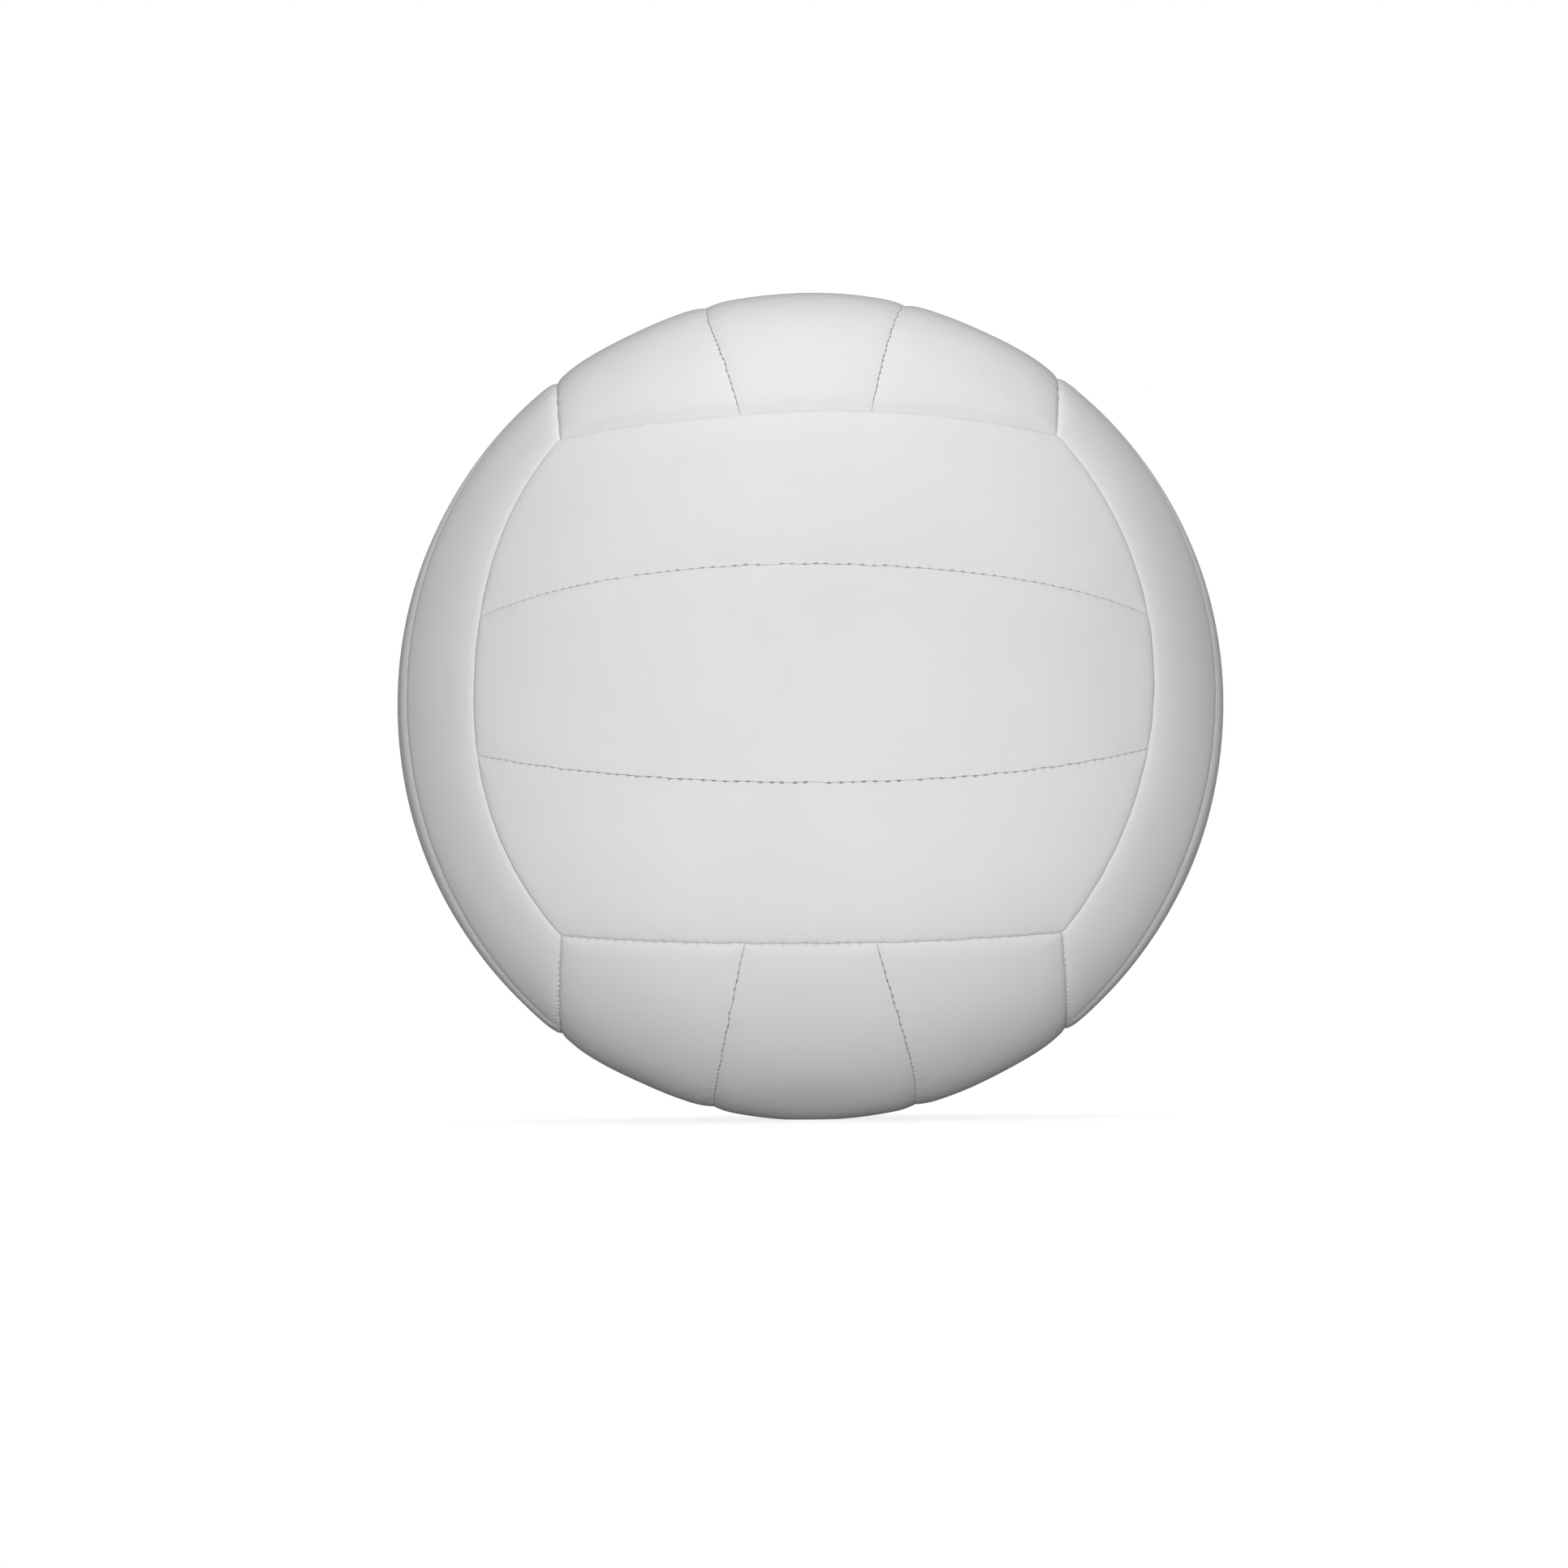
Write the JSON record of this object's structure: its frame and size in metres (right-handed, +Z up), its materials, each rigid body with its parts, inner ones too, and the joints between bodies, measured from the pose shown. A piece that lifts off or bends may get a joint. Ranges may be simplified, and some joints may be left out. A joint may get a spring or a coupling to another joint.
{
  "type": "volleyball",
  "caption": "Sewn ball with rolled-edge synthetic leather panels in crossed groups of strips, over foam pads, a cloth lining and an air bladder with a needle valve.",
  "frame": {"origin": "centre of the ball", "axes": "+Y along the valve and out of the ball, at the back; +Z up, through the middle strip of the top group; the front group's strips run along X"},
  "size_m": [0.21, 0.2099, 0.21],
  "materials": {
    "cover_leather": "satin white synthetic leather with a fine grain",
    "foam": "open-cell sponge",
    "thread": "twisted polyester",
    "lining_cloth": "plain woven cotton",
    "bladder_rubber": "dull, dusted",
    "valve_rubber": "moulded, dull",
    "plug_rubber": "moulded, smooth",
    "patch_cloth": "coated cloth"
  },
  "bodies": {
    "ball": {"back_lower_foam": "foam", "back_lower_panel": "cover_leather", "back_middle_foam": "foam", "back_middle_panel": "cover_leather", "back_seam_thread": "thread", "back_upper_foam": "foam", "back_upper_panel": "cover_leather", "bladder": "bladder_rubber", "bottom_left_foam": "foam", "bottom_left_panel": "cover_leather", "bottom_middle_foam": "foam", "bottom_middle_panel": "cover_leather", "bottom_right_foam": "foam", "bottom_right_panel": "cover_leather", "bottom_seam_thread": "thread", "front_lower_foam": "foam", "front_lower_panel": "cover_leather", "front_middle_foam": "foam", "front_middle_panel": "cover_leather", "front_seam_thread": "thread", "front_upper_foam": "foam", "front_upper_panel": "cover_leather", "left_front_foam": "foam", "left_front_panel": "cover_leather", "left_middle_foam": "foam", "left_middle_panel": "cover_leather", "left_rear_foam": "foam", "left_rear_panel": "cover_leather", "left_seam_thread": "thread", "lining": "lining_cloth", "right_front_foam": "foam", "right_front_panel": "cover_leather", "right_middle_foam": "foam", "right_middle_panel": "cover_leather", "right_rear_foam": "foam", "right_rear_panel": "cover_leather", "right_seam_thread": "thread", "top_left_foam": "foam", "top_left_panel": "cover_leather", "top_middle_foam": "foam", "top_middle_panel": "cover_leather", "top_right_foam": "foam", "top_right_panel": "cover_leather", "top_seam_thread": "thread", "valve_body": "valve_rubber", "valve_patch": "patch_cloth"},
    "valve_plug": {"valve_plug": "plug_rubber"}
  },
  "joints": [
    {"name": "valve_plug_pull", "type": "slide", "parent": "ball", "child": "valve_plug", "axis": [0, 1, 0], "range_m": [0, 0.022]}
  ]
}
